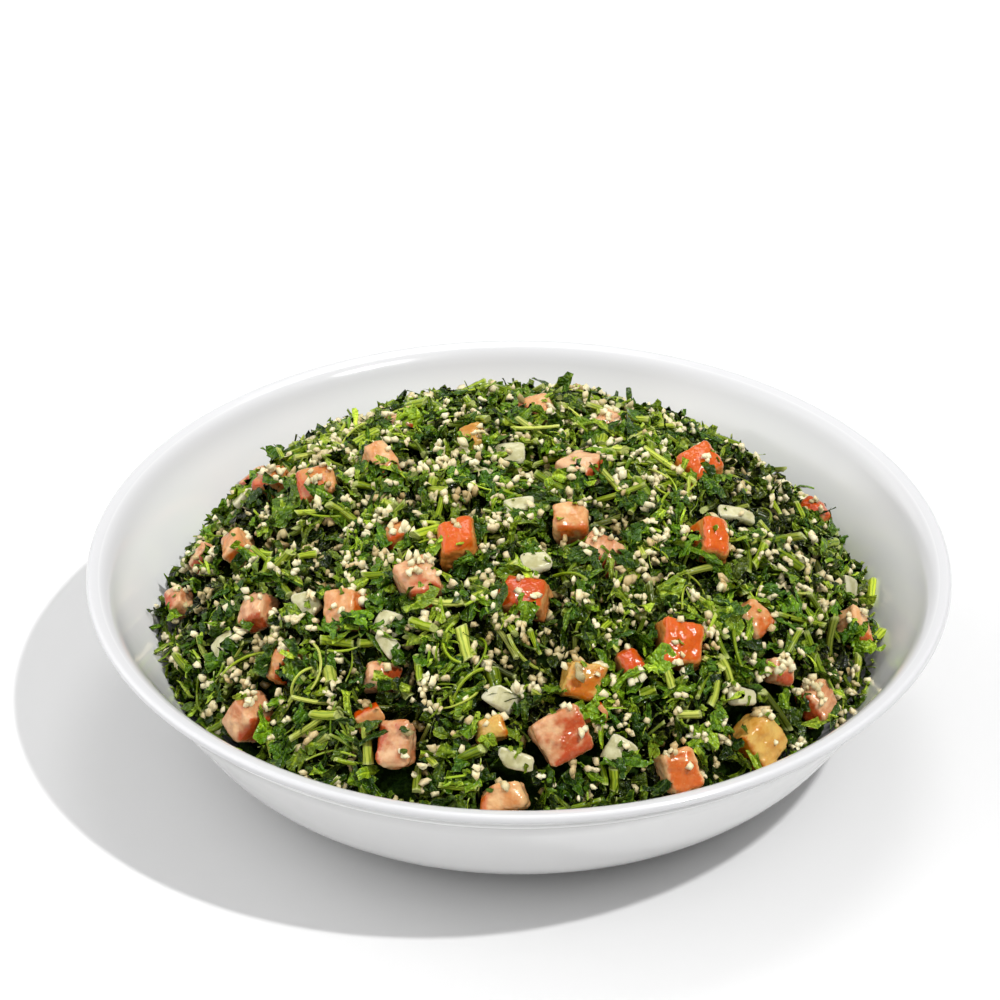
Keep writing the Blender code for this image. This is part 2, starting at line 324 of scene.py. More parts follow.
def remap(tree, value, low, high, start=0.0, end=1.0):
    """The value, eased from low and high to start and end."""
    inputs = {"Value": value, "From Min": low, "From Max": high, "To Min": start, "To Max": end}
    made = add_node(tree, "ShaderNodeMapRange", inputs, interpolation_type="SMOOTHSTEP")
    return made.outputs["Result"]


def maths(tree, operation, a, b=0.0):
    return add_node(tree, "ShaderNodeMath", {0: a, 1: b}, operation=operation).outputs[0]


def times(tree, a, b):
    return maths(tree, "MULTIPLY", a, b)


def plus(tree, a, b):
    return maths(tree, "ADD", a, b)


def minus(tree, a, b):
    return maths(tree, "SUBTRACT", a, b)


def parts_of(tree, vector):
    """The X, Y and Z of a vector."""
    return add_node(tree, "ShaderNodeSeparateXYZ", {"Vector": vector}).outputs


def blend(tree, share, a, b, way="MIX"):
    """Colour a, going to b as share goes to 1."""
    made = add_node(tree, "ShaderNodeMix", data_type="RGBA", blend_type=way)
    for socket, value in zip((made.inputs[0], made.inputs[6], made.inputs[7]), (share, a, b)):
        if isinstance(value, bpy.types.NodeSocket):
            tree.links.new(value, socket)
        else:
            socket.default_value = value if socket == made.inputs[0] else (*value, 1)
    return made.outputs[2]


def attribute(tree, name, output="Fac"):
    return add_node(tree, "ShaderNodeAttribute", attribute_name=name).outputs[output]


def object_coords(tree):
    return add_node(tree, "ShaderNodeTexCoord").outputs["Object"]


def cover(tree, shader, colour, height, strength, distance):
    """Links the colour to the shader, and a relief made from the height."""
    tree.links.new(colour, shader.inputs["Base Color"])
    relief = {"Height": height, "Strength": strength, "Distance": distance}
    normal = add_node(tree, "ShaderNodeBump", relief).outputs["Normal"]
    tree.links.new(normal, shader.inputs["Normal"])


# --- Bowl


def arc(centre, radius, start, end, steps):
    angles = [start + (end - start) * i / steps for i in range(steps + 1)]
    return [(centre[0] + radius * math.cos(a), centre[1] + radius * math.sin(a)) for a in angles]


WALL_TOP_RADIUS = RIM_RADIUS - LIP_OVERHANG + LIP_THICKNESS / math.tan(WALL_ANGLE)
FILLET_Z = BASE_HEIGHT + FILLET_RADIUS
FILLET_R = (
    WALL_TOP_RADIUS
    - (BOWL_TOP - FILLET_Z + FILLET_RADIUS * math.cos(WALL_ANGLE)) / math.tan(WALL_ANGLE)
    - FILLET_RADIUS * math.sin(WALL_ANGLE)
)


def wall_radius(z):
    return WALL_TOP_RADIUS - (BOWL_TOP - z) / math.tan(WALL_ANGLE)


def inside_height(r):
    """Height of the bowl's inside, for an array of radii."""
    radius = FILLET_RADIUS - WALL_THICKNESS
    across = np.clip(r - FILLET_R, 0, radius * math.sin(WALL_ANGLE))
    low = FILLET_Z - np.sqrt(radius**2 - across**2)
    top = WALL_TOP_RADIUS - WALL_THICKNESS / math.sin(WALL_ANGLE)
    high = BOWL_TOP - (top - r) * math.tan(WALL_ANGLE)
    return np.maximum(low, high)


def bowl_section():
    """The bowl's half section, from under the base, up the outside, over the lip and inside."""
    bottom = -math.pi / 2
    foot = [
        (FOOT_INNER - 0.3 * BASE_HEIGHT, BASE_HEIGHT),
        (FOOT_INNER, 0.5 * BASE_HEIGHT),
        (FOOT_INNER + 0.15 * BASE_HEIGHT, 0.1 * BASE_HEIGHT),
        (FOOT_INNER + 0.35 * BASE_HEIGHT, 0),
        (FOOT_OUTER - 0.35 * BASE_HEIGHT, 0),
        (FOOT_OUTER - 0.1 * BASE_HEIGHT, 0.12 * BASE_HEIGHT),
        (FOOT_OUTER, 0.5 * BASE_HEIGHT),
        (FOOT_OUTER + 0.25 * BASE_HEIGHT, 0.95 * BASE_HEIGHT),
    ]
    outer = arc((FILLET_R, FILLET_Z), FILLET_RADIUS, bottom, bottom + WALL_ANGLE, 14)
    outer = [point for point in outer if point[0] > FOOT_OUTER + 0.6 * BASE_HEIGHT]
    groove = (BOWL_TOP - BAND_TOP, BOWL_TOP - LIP_DROP - 2 * LIP_BEAD)
    band_low = BOWL_TOP - BAND_BOTTOM
    wall = [(wall_radius(z), z) for z in np.linspace(outer[-1][1], band_low, 6)[1:]]
    band = [
        (wall_radius(band_low + rise) + proud * BAND_PROUD, band_low + rise)
        for rise, proud in (
            (0.3 * MM, 0.2), (0.7 * MM, 0.6), (1.15 * MM, 0.95), (1.6 * MM, 0.9), (2.0 * MM, 0.4)
        )
    ]
    band += [(wall_radius(z) - 0.3 * BAND_PROUD, z) for z in groove]
    bead = (RIM_RADIUS - LIP_BEAD, BOWL_TOP - LIP_DROP - LIP_BEAD)
    lip = arc(bead, LIP_BEAD, bottom, 0.62 * math.pi, 12)
    inside_top = WALL_TOP_RADIUS - WALL_THICKNESS / math.sin(WALL_ANGLE)
    shoulder = [
        (inside_top - drop / math.tan(WALL_ANGLE) + off, BOWL_TOP - drop)
        for drop, off in ((1.2 * MM, 2.1 * MM), (1.5 * MM, 1.4 * MM), (2.0 * MM, 0.8 * MM),
                          (2.7 * MM, 0.4 * MM), (3.6 * MM, 0.15 * MM), (5 * MM, 0))
    ]
    inner = arc(
        (FILLET_R, FILLET_Z), FILLET_RADIUS - WALL_THICKNESS, bottom + WALL_ANGLE, bottom, 12
    )
    return foot + outer + wall + band + lip + shoulder + inner


def make_bowl():
    """The section drawn out ring by ring from a circle under the base, then closed."""
    select_none()
    section = bowl_section()
    r, z = section[0]
    bpy.ops.mesh.primitive_circle_add(
        vertices=BOWL_SIDES, radius=r, fill_type="NGON", location=(0, 0, 0)
    )
    bowl = named(bpy.context.object, "white_bowl")
    edit(bowl)
    move(0, 0, z)
    bpy.ops.mesh.delete(type="ONLY_FACE")
    take_all()
    for new_r, new_z in section[1:]:
        bpy.ops.mesh.extrude_edges_move(TRANSFORM_OT_translate={"value": (0, 0, new_z - z)})
        bpy.ops.transform.resize(value=(new_r / r, new_r / r, 1), center_override=(0, 0, new_z))
        r, z = new_r, new_z
    bpy.ops.mesh.edge_face_add()
    choose(lambda vert: vert.is_boundary)
    bpy.ops.mesh.edge_face_add()
    take_all()
    bpy.ops.mesh.normals_make_consistent(inside=False)
    select_none()
    bowl.select_set(True)
    bpy.context.view_layer.objects.active = bowl
    bpy.ops.object.shade_smooth_by_angle(angle=math.radians(40))
    finish_piece(bowl, "bowl", glazed_white(), "bowl")


def glazed_white():
    """Smooth white glaze, very slightly uneven, greyed on the lip and high on the inside as painted
    shade.
    """
    made, tree, shader = new_finish(
        "glazed_white", Roughness=0.16, Coat_Weight=0.35, Coat_Roughness=0.06, IOR=1.5
    )
    coords = object_coords(tree)
    cloud = noise(tree, coords, 22, 2)
    colour = blend(tree, remap(tree, cloud, 0.3, 0.7), *GLAZE_TONES)
    x, y, height = parts_of(tree, coords)
    flat = add_node(tree, "ShaderNodeCombineXYZ", {"X": x, "Y": y}).outputs[0]
    out = add_node(tree, "ShaderNodeVectorMath", {0: flat}, operation="LENGTH").outputs["Value"]
    # Painted shade: the lip, and the inside just under it, are greyed towards the painted shade
    # tone.
    lip = remap(tree, out, RIM_RADIUS - 3.6 * MM, RIM_RADIUS - 3 * MM)
    above_groove = remap(tree, height, BOWL_TOP - 3.6 * MM, BOWL_TOP - 2.9 * MM)
    lip = times(tree, lip, above_groove)
    lean = minus(tree, out, times(tree, height, 1 / math.tan(WALL_ANGLE)))
    flush = wall_radius(0)
    inside = remap(tree, lean, flush - 2.5 * MM, flush - 0.9 * MM, 1, 0)
    high = remap(tree, height, BOWL_TOP - 11 * MM, BOWL_TOP - 2 * MM)
    painted_shade_mask = maths(tree, "MAXIMUM", lip, times(tree, inside, high))
    colour = blend(tree, painted_shade_mask, colour, LIP_PAINTED_SHADE)
    cover(tree, shader, colour, noise(tree, coords, 60, 2), 0.05, 0.0004)
    rough = remap(tree, noise(tree, coords, 140, 3), 0.3, 0.7, 0.13, 0.2)
    tree.links.new(rough, shader.inputs["Roughness"])
    return made


# --- Templates of the small things, modelled flat or straight, then curled


def close_sheet(thickness):
    """In edit mode: backs the flat sheet with a second one that meets it round the edge."""
    mark("edge", lambda vert: vert.is_boundary)
    take_all()
    bpy.ops.mesh.duplicate()
    bpy.ops.mesh.flip_normals()
    choose(lambda vert: vert.select and not vert.is_boundary)
    move(0, 0, -thickness)
    take_all()
    bpy.ops.mesh.remove_doubles(threshold=MERGE)


def lay_flat_map(piece, size):
    """A map of the sheet before it is curled: u along and v across, both from -1 to 1."""
    mesh = piece.data
    layer = mesh.uv_layers.new(name="flat")
    for loop in mesh.loops:
        x, y, _ = mesh.vertices[loop.vertex_index].co
        layer.data[loop.index].uv = (2 * x / size, 2 * y / size)


def lay_round_map(piece):
    """A map of a rod that lies along X: v goes round it, from -1 to 1."""
    mesh = piece.data
    layer = mesh.uv_layers.new(name="flat")
    for face in mesh.polygons:
        middle = math.atan2(face.center.z, face.center.y)
        for index in face.loop_indices:
            _, y, z = mesh.vertices[mesh.loops[index].vertex_index].co
            off = (math.atan2(z, y) - middle + math.pi) % (2 * math.pi) - math.pi
            layer.data[index].uv = (0, (middle + off) / math.pi)


def curl(piece, along, across, twist):
    """Curls a sheet in its length and its width, and twists it. Angles in degrees."""
    for angle, turned in ((along, 0), (across, math.pi / 2)):
        edit(piece)
        rotate(turned, "Z")
        rotate(math.pi / 2, "X")
        done()
        apply_modifier(
            piece,
            "SIMPLE_DEFORM",
            deform_method="BEND",
            deform_axis="Z",
            angle=math.radians(angle),
        )
        edit(piece)
        rotate(-math.pi / 2, "X")
        rotate(-turned, "Z")
        done()
    apply_modifier(
        piece, "SIMPLE_DEFORM", deform_method="TWIST", deform_axis="X", angle=math.radians(twist)
    )


class Template:
    """The arrays of a finished small shape, centred, with its edge marks and flat map."""

    def __init__(self, piece):
        edit(piece)
        bpy.ops.mesh.quads_convert_to_tris()
        done()
        mesh = piece.data
        self.points = np.array([vert.co for vert in mesh.vertices])
        self.points -= 0.5 * (self.points.min(0) + self.points.max(0))
        self.faces = np.array([face.vertices for face in mesh.polygons])
        self.marks = {
            name: np.array([value.value for value in mesh.attributes[name].data])
            for name in ("edge", "end", "skin")
            if name in mesh.attributes
        }
        flat = mesh.uv_layers.get("flat")
        self.flat = np.zeros((len(mesh.loops), 2))
        if flat:
            self.flat = np.array([corner.uv for corner in flat.data])
        middles = self.points[self.faces].mean(1)
        self.touch = np.vstack([self.points, middles])
        bpy.data.objects.remove(piece)


def leaf_bit(rng, sides, length, width, notch, frill, along, across):
    """A chopped bit of parsley leaf, with a notched and frilled outline."""
    bpy.ops.mesh.primitive_circle_add(vertices=sides, radius=0.5 * length, fill_type="NGON")
    piece = bpy.context.object
    edit(piece)
    bpy.ops.transform.resize(value=(1, width / length, 1))
    bpy.ops.mesh.inset(thickness=0.3 * width)
    bpy.ops.mesh.poke()

    def every_other(vert):
        if not vert.is_boundary:
            return False
        turn = math.atan2(vert.co.y * length / width, vert.co.x)
        return round(turn * sides / (2 * math.pi)) % 2 == 0

    choose(every_other)
    squeeze(1 - notch, 1 - notch, 1)
    move(0, 0, frill)
    choose(lambda vert: vert.is_boundary)
    jitter(rng, 0.16 * width)
    choose(lambda vert: not vert.is_boundary)
    jitter(rng, 0.2 * width)
    close_sheet(0.3 * MM)
    done()
    lay_flat_map(piece, length)
    curl(piece, along, across, rng.uniform(-50, 50))
    return Template(piece)


def ruffled_leaf(rng, length, width, ruffle, along, across):
    """A bit of curly parsley: a lobed sheet thrown into small folds, then curled."""
    bpy.ops.mesh.primitive_grid_add(x_subdivisions=9, y_subdivisions=6, size=1)
    piece = bpy.context.object
    edit(piece)
    bpy.ops.transform.resize(value=(length, width, 1))
    lobes = rng.uniform(2.2, 3.4)
    start = rng.uniform(-math.pi, math.pi)

    def outside(vert):
        turn = math.atan2(vert.co.y / width, vert.co.x / length)
        reach = 0.46 + 0.12 * math.cos(lobes * turn + start) + 0.05 * math.cos(7 * turn)
        return math.hypot(vert.co.x / length, vert.co.y / width) > reach

    choose(outside)
    bpy.ops.mesh.delete(type="VERT")
    take_all()
    jitter(rng, 0.035 * length)
    done()
    folds = bpy.data.textures.new("folds", "CLOUDS")
    folds.noise_scale = 2.1 * MM
    piece.location = (rng.uniform(-1, 1), rng.uniform(-1, 1), 0)
    bpy.ops.object.transform_apply(location=True, rotation=False, scale=False)
    apply_modifier(
        piece, "DISPLACE", texture=folds, texture_coords="LOCAL", direction="Z",
        strength=ruffle, mid_level=0.5
    )
    centre_sheet(piece)
    close_sheet(0.25 * MM)
    done()
    lay_flat_map(piece, length)
    curl(piece, along, across, rng.uniform(-60, 60))
    return Template(piece)


def centre_sheet(piece):
    """Brings the sheet back over the origin, and leaves it open for editing."""
    middle = sum((vert.co for vert in piece.data.vertices), Vector()) / len(piece.data.vertices)
    edit(piece)
    bpy.ops.transform.translate(value=-middle)


def leaf_ribbon(rng, length, width, along, across, twist):
    """A narrow strip of leaf, rolled and twisted, with frayed sides."""
    bpy.ops.mesh.primitive_grid_add(x_subdivisions=5, y_subdivisions=2, size=1)
    piece = bpy.context.object
    edit(piece)
    bpy.ops.transform.resize(value=(length, width, 1))
    choose(lambda vert: vert.is_boundary)
    jitter(rng, 0.22 * width)
    choose(lambda vert: abs(vert.co.x) > 0.4 * length)
    squeeze(1, rng.uniform(0.3, 0.9), 1)
    close_sheet(0.3 * MM)
    done()
    lay_flat_map(piece, length)
    curl(piece, along, across, twist)
    return Template(piece)


def stalk(rng, radius, length, sides, rings, groove, arch, taper=1.0, flat=1.0):
    """A cut length of stem or tendril: a ridged rod with slanting ends, slightly bent."""
    bpy.ops.mesh.primitive_circle_add(vertices=sides, radius=radius, fill_type="NGON")
    piece = bpy.context.object
    edit(piece)
    rotate(math.pi / 2, "Y")
    bpy.ops.transform.resize(value=(1, 1, flat))
    move(-0.5 * length, 0, 0)
    bpy.ops.mesh.poke()
    for ring in range(rings):
        bpy.ops.mesh.extrude_region_move(
            TRANSFORM_OT_translate={"value": (length / rings, 0, 0)}
        )
        k = taper ** (1 / rings)
        bpy.ops.transform.resize(
            value=(1, k, k), center_override=(-0.5 * length + (ring + 1) * length / rings, 0, 0)
        )
    choose(lambda vert: vert.is_boundary)
    bpy.ops.mesh.edge_face_add()
    bpy.ops.mesh.poke()
    ends = (-0.5 * length + 0.1 * radius, 0.5 * length - 0.1 * radius)
    mark("end", lambda vert: not ends[0] < vert.co.x < ends[1])

    def ridge(vert):
        turn = math.atan2(vert.co.z / flat, vert.co.y)
        far = math.hypot(vert.co.y, vert.co.z) > 0.2 * radius
        return far and round(turn * sides / (2 * math.pi)) % 2 == 0

    choose(ridge)
    squeeze(1, 1 - groove, 1 - groove)
    slant = rng.uniform(-0.8, 0.8)
    for side in (-1, 1):
        bm = bmesh.from_edit_mesh(piece.data)
        for vert in bm.verts:
            if side * vert.co.x > 0.45 * length:
                vert.co.x += slant * vert.co.y
        bmesh.update_edit_mesh(piece.data)
    take_all()
    jitter(rng, 0.1 * radius)
    bpy.ops.mesh.normals_make_consistent(inside=False)
    done()
    lay_round_map(piece)
    curl(piece, arch, 0, 0)
    edit(piece)
    rotate(rng.uniform(0, math.pi), "X")
    done()
    return Template(piece)


def grain(rng, length, width, parts):
    """Soaked cracked wheat: a blunt lump, or a few of them stuck together."""
    lumps = []
    for part in range(parts):
        reach = 0.0 if part == 0 else rng.uniform(0.45, 0.85) * width
        turn = rng.uniform(-math.pi, math.pi)
        size = width * rng.uniform(0.7, 1.0)
        bpy.ops.mesh.primitive_ico_sphere_add(
            subdivisions=1,
            radius=0.5 * size,
            location=(
                reach * math.cos(turn), reach * math.sin(turn), 0.2 * rng.uniform(-1, 1) * size
            ),
            rotation=(rng.uniform(0, 3), rng.uniform(0, 3), 0),
        )
        lump = bpy.context.object
        edit(lump)
        jitter(rng, 0.17 * size)
        bpy.ops.transform.resize(value=(length / width, 1, rng.uniform(0.65, 0.9)))
        done()
        lumps.append(lump)
    select_none()
    for lump in lumps:
        lump.select_set(True)
    bpy.context.view_layer.objects.active = lumps[0]
    if parts > 1:
        bpy.ops.object.join()
    bpy.ops.object.transform_apply(location=True, rotation=True, scale=True)
    return Template(bpy.context.object)


def scrap(rng, length, width):
    """A small cut bit of tomato or onion."""
    bpy.ops.mesh.primitive_cube_add(size=width)
    piece = bpy.context.object
    edit(piece)
    jitter(rng, 0.3 * width)
    bpy.ops.transform.resize(value=(length / width, 1, rng.uniform(0.35, 0.5)))
    done()
    apply_modifier(piece, "BEVEL", width=0.15 * width, segments=2)
    apply_modifier(piece, "SUBSURF", levels=1, render_levels=1)
    edit(piece)
    mark("edge", lambda vert: max(abs(vert.co.x), abs(vert.co.y)) > 0.42 * width)
    mark("skin", lambda vert: vert.co.y > 0.35 * width)
    done()
    return Template(piece)


# --- Laying the heap


def grow(net, reach, best):
    """Each point of the net takes the best value within reach, along both directions."""
    steps = int(round(reach / NET_STEP))
    for axis in (0, 1):
        out = net.copy()
        for shift in range(1, steps + 1):
            for way in (shift, -shift):
                out = best(out, np.roll(net, way, axis))
        net = out
    return net


def smooth(net, rounds):
    for _ in range(rounds):
        for axis in (0, 1):
            net = (np.roll(net, 1, axis) + 2 * net + np.roll(net, -1, axis)) / 4
    return net


def solid_of(nodes):
    """A tree of the nodes' triangles, for casting rays at."""
    points, faces = [], []
    for name in nodes:
        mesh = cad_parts[name].data
        base = len(points)
        points += [vert.co.copy() for vert in mesh.vertices]
        faces += [[base + i for i in face.vertices] for face in mesh.polygons]
    return BVHTree.FromPolygons(points, faces)


def heights_of(tree, side):
    """The highest point of a solid over each point of the net, or 0."""
    out = np.zeros((side, side))
    down = Vector((0, 0, -1))
    for i in range(side):
        x = i * NET_STEP - NET_HALF
        for j in range(side):
            y = j * NET_STEP - NET_HALF
            hit = tree.ray_cast(Vector((x, y, 0.2)), down)[0]
            if hit:
                out[i, j] = hit.z
    return out


def soft_field(side, spacing, seed):
    """A soft random field over the net, from 0 to 1, with hills about a spacing wide."""
    chance = np.random.default_rng(seed)
    count = int(2 * NET_HALF / spacing) + 2
    knots = np.linspace(0, side - 1, count)
    steps = np.arange(side)
    rows = np.array([np.interp(steps, knots, row) for row in chance.random((count, count))])
    return smooth(np.array([np.interp(steps, knots, column) for column in rows.T]).T, 6)


class Pile:
    """The heap as it grows: heights on a net, and what has been laid of each kind."""

    def __init__(self, dice):
        side = int(round(2 * NET_HALF / NET_STEP)) + 1
        line = np.arange(side) * NET_STEP - NET_HALF
        self.side = side
        self.radius = np.hypot(line[:, None], line[None, :])
        wall = inside_height(self.radius)
        heap = heights_of(solid_of(["tabbouleh_heap"]), side)
        closed = grow(grow(heap, POCKET_REACH, np.maximum), POCKET_REACH, np.minimum)
        self.heap = np.maximum(smooth(closed, 2), wall)
        hollows = soft_field(side, HOLLOW_SPACING, SEED)
        low = np.clip((hollows - HOLLOW_FROM) / HOLLOW_EASE, 0, 1)
        self.full = np.maximum(self.heap - HOLLOW_DEPTH * low, wall)
        self.light = LEAF_LIGHT[0] + LEAF_LIGHT[1] * soft_field(side, TONE_SPACING, SEED + 1)
        dice_tops = heights_of(solid_of(dice), side)
        stands_out = np.clip((dice_tops - self.heap) / DIE_CLEAR, DIE_LEAST_CLEAR, 1)
        self.bare = np.where(dice_tops > 0, grow(stands_out, DIE_REACH, np.maximum), 0)
        core = np.where(self.heap > wall, self.heap - CORE_DEPTH, wall)
        self.now = np.maximum(np.maximum(core, wall), dice_tops)
        self.limit = np.maximum(self.full, dice_tops)
        even = smooth(self.full, 8)
        slope_x = np.gradient(even, NET_STEP, axis=0)
        slope_y = np.gradient(even, NET_STEP, axis=1)
        self.normal = np.stack([-slope_x, -slope_y, np.ones_like(even)], -1)
        self.normal /= np.linalg.norm(self.normal, axis=-1, keepdims=True)
        self.flow = 4 * math.pi * soft_field(side, FLOW_SPACING, SEED + 2)
        self.open = np.clip((self.radius - HEAP_RADIUS + EDGE_BAND) / EDGE_BAND, 0, 1)
        self.laid = {}
        self.layer_shade = 1.0

    def cell(self, xy):
        index = np.rint((xy + NET_HALF) / NET_STEP).astype(int)
        return np.clip(index, 0, self.side - 1)

    def room(self, x, y):
        """How far the heap at a place is under its full height."""
        i, j = self.cell(np.array([x, y]))
        patch = slice(max(i - 2, 0), i + 3), slice(max(j - 2, 0), j + 3)
        return float((self.full[patch] - self.now[patch]).mean())

    def lay(self, kind, rng, template, x, y, tone, tilt, rest, drape, proud, on_dice, up=None):
        """Lays one bit at (x, y), resting on what is there. False if it finds no place."""
        i, j = self.cell(np.array([x, y]))
        up = up or Vector(self.normal[i, j])
        lean = Matrix.Rotation(rng.gauss(0, math.radians(tilt)), 3, "X") @ Matrix.Rotation(
            rng.gauss(0, math.radians(tilt)), 3, "Y"
        )
        turn = Matrix.Rotation(self.flow[i, j] + rng.gauss(0, 0.5), 3, "Z")
        if rng.random() < 0.5:
            turn = turn @ Matrix.Rotation(math.pi, 3, "X")
        stand = Vector((0, 0, 1)).rotation_difference(up).to_matrix()
        grow_by = rng.uniform(*GROWTH)
        if kind == "bulgur":
            grow_by = rng.uniform(*GRAIN_GROWTH)
        place = np.array(stand @ lean @ turn) * grow_by
        touch = template.touch @ place.T
        touch[:, :2] += (x, y)
        cells_x, cells_y = self.cell(touch[:, :2]).T
        if self.bare[cells_x, cells_y].mean() > on_dice:
            return False
        ground = self.now[cells_x, cells_y]
        lift = np.quantile(ground - touch[:, 2], rest)
        touch[:, 2] += lift
        over = (touch[:, 2] - self.limit[cells_x, cells_y]).mean()
        reach = np.hypot(touch[:, 0], touch[:, 1])
        through = (inside_height(reach) - touch[:, 2]).max()
        if over > proud or through > WALL_SLACK or reach.max() > HEAP_RADIUS + EDGE_REACH:
            return False
        if touch[:, 2].max() > CAD_BOX[1][2] + HEADROOM:
            return False
        count = len(template.points)
        sag = np.clip(ground[:count] + SAG_GAP - touch[:count, 2], *SAG)
        points = touch[:count].copy()
        points[:, 2] += drape * sag
        np.maximum.at(self.now, (cells_x, cells_y), touch[:, 2])
        # Painted shade: the bit's tone is darkened the deeper it lies under the heap's surface and
        # by its layer, lifted at the heap's open edge; on grain the painted shade goes warm.
        depth = (self.heap[i, j] - touch[:, 2].mean()) / SHADE_DEPTH
        shade = self.layer_shade * (1 - DEEP_SHADE * min(1, max(0, depth)))
        if kind.startswith("parsley"):
            shade *= self.light[i, j]
        else:
            shade = min(1, shade)
        shade = max(shade, OPEN_SHADE * self.open[i, j])
        painted_shade_colour = (shade, shade, shade)
        if kind == "bulgur":
            painted_shade_colour = (shade**0.4, shade**0.46, shade**0.65)
        if self.layer_shade < 0.5 and kind in UNDER:
            kind = "parsley_under"
        tone = [a * b for a, b in zip(painted_shade_colour, tone)]
        self.laid.setdefault(kind, []).append((template, points, tone))
        return True


def join_laid(name, laid, crease):
    """One mesh of all the pieces of a kind, with their tones, marks and flat maps."""
    points = np.vstack([item[1] for item in laid])
    counts = np.array([len(item[1]) for item in laid])
    bases = np.concatenate([[0], np.cumsum(counts)[:-1]])
    faces = np.vstack([item[0].faces + base for item, base in zip(laid, bases)])
    mesh = bpy.data.meshes.new(name)
    mesh.vertices.add(len(points))
    mesh.vertices.foreach_set("co", points.ravel())
    mesh.loops.add(faces.size)
    mesh.loops.foreach_set("vertex_index", faces.ravel())
    mesh.polygons.add(len(faces))
    mesh.polygons.foreach_set("loop_start", np.arange(0, faces.size, 3))
    mesh.update(calc_edges=True)
    # Each bit's tone carries its painted shade, multiplied in when it was laid.
    tones = np.repeat(np.array([(*item[2], 1.0) for item in laid]), counts, axis=0)
    layer = mesh.attributes.new("tone", "FLOAT_COLOR", "POINT")
    layer.data.foreach_set("color", tones.ravel())
    for label in laid[0][0].marks:
        values = np.concatenate([item[0].marks[label] for item in laid])
        layer = mesh.attributes.new(label, "FLOAT", "POINT")
        layer.data.foreach_set("value", values)
    flat = mesh.uv_layers.new(name="flat")
    flat.data.foreach_set("uv", np.vstack([item[0].flat for item in laid]).ravel())
    mesh.polygons.foreach_set("use_smooth", np.ones(len(faces), bool))
    mesh.set_sharp_from_angle(angle=math.radians(crease))
    mesh.update()
    return add_piece(name, mesh)


def tone_from(rng, tones, weights, spread=0.15):
    """A colour between two neighbours in a row of tones, a little lighter or darker."""
    at = rng.choices(range(len(tones)), weights)[0]
    other = min(len(tones) - 1, at + 1)
    mix = rng.random() * 0.6
    light = 1 + rng.uniform(-spread, spread)
    return [light * (a + mix * (b - a)) for a, b in zip(tones[at], tones[other])]


def spot(rng, reach):
    """A place on the heap, evenly spread."""
    r = reach * math.sqrt(rng.random())
    angle = rng.uniform(-math.pi, math.pi)
    return r * math.cos(angle), r * math.sin(angle)


def roomiest(rng, pile, tries):
    """The place with most room left, of a few picked by chance."""
    places = [spot(rng, HEAP_RADIUS + 0.5 * MM) for _ in range(tries)]
    return max(places, key=lambda place: pile.room(*place))


KINDS = {
    # kind: (how many, tilt, rest, drape, proud, tries). Tilt is in degrees. Rest is the share
    # of a bit that lies into what is under it, and drape is how much it bends to follow that.
    # Proud is how far it may stand over the heap, and tries is how many places it chooses from.
    "parsley_sprigs": (1500, 24, 0.6, 0.3, 1.3 * MM, 3),
    "parsley_chopped": (2600, 30, 0.66, 0.3, 1.0 * MM, 3),
    "parsley_curled": (3600, 30, 0.7, 0.25, 1.2 * MM, 2),
    "parsley_shreds": (2200, 24, 0.7, 0.1, 1.2 * MM, 2),
    "stems": (740, 12, 0.75, 0.0, 1.3 * MM, 3),
    "tendrils": (90, 8, 0.7, 0.0, 1.8 * MM, 1),
    "bulgur": (1850, 60, 0.65, 0.0, 1.5 * MM, 1),
    "parsley_crumbs": (1200, 50, 0.7, 0.0, 1.5 * MM, 1),
    "tomato_scraps": (0, 10, 0.6, 0.0, 1.5 * MM, 1),
    "onion_scraps": (0, 10, 0.6, 0.0, 1.5 * MM, 1),
}
SCRAPS = (
    # kind, place in millimetres from the middle of the bowl
    ("tomato_scraps", -5, -67), ("tomato_scraps", -23, 40), ("tomato_scraps", 19, -75),
    ("tomato_scraps", -37, -73), ("tomato_scraps", 30, 74), ("onion_scraps", -33, -57),
    ("onion_scraps", 0, -14), ("onion_scraps", -4, -74), ("onion_scraps", -13, -69),
    ("onion_scraps", 89, 2), ("onion_scraps", 70, 25),
)
STUCK = {
    # die: how many grains of bulgur and crumbs of leaf lie on it
    "tomato_pink_07": (9, 3), "tomato_pink_10": (12, 3), "tomato_pink_21": (7, 5),
    "tomato_pink_34": (8, 3), "tomato_pink_36": (9, 4), "tomato_amber_13": (5, 2),
    "tomato_orange_12": (2, 1), "tomato_pink_17": (4, 3), "tomato_pink_30": (4, 4),
    "tomato_red_20": (3, 3), "tomato_red_14": (3, 3), "tomato_salmon_35": (4, 2),
    "tomato_red_02": (2, 3), "tomato_orange_01": (0, 1), "tomato_orange_08": (0, 2),
}
LAYERS = (
    # share of each kind that is laid first, second and last
    {"parsley_sprigs": 0.35, "parsley_chopped": 0.35, "parsley_curled": 0.3, "bulgur": 0.1},
    {"parsley_sprigs": 0.3, "parsley_chopped": 0.3, "parsley_curled": 0.3,
     "parsley_shreds": 0.5, "stems": 0.6, "bulgur": 0.3},
    {"parsley_sprigs": 0.35, "parsley_chopped": 0.35, "parsley_curled": 0.4,
     "parsley_shreds": 0.5, "stems": 0.4, "tendrils": 1.0, "bulgur": 0.6, "parsley_crumbs": 1.0},
)
UNDER = ("parsley_sprigs", "parsley_chopped", "parsley_curled")
LAYER_SHADES = (0.2, 0.8, 1.6)  # painted lightness of what is laid first, second and last: painted shade under, painted light on top
TUCKED = ("parsley_curled", "parsley_chopped", "parsley_sprigs", "bulgur", "stems")
CREASES = {"bulgur": 140, "stems": 62, "tendrils": 85}  # angle past which an edge is sharp
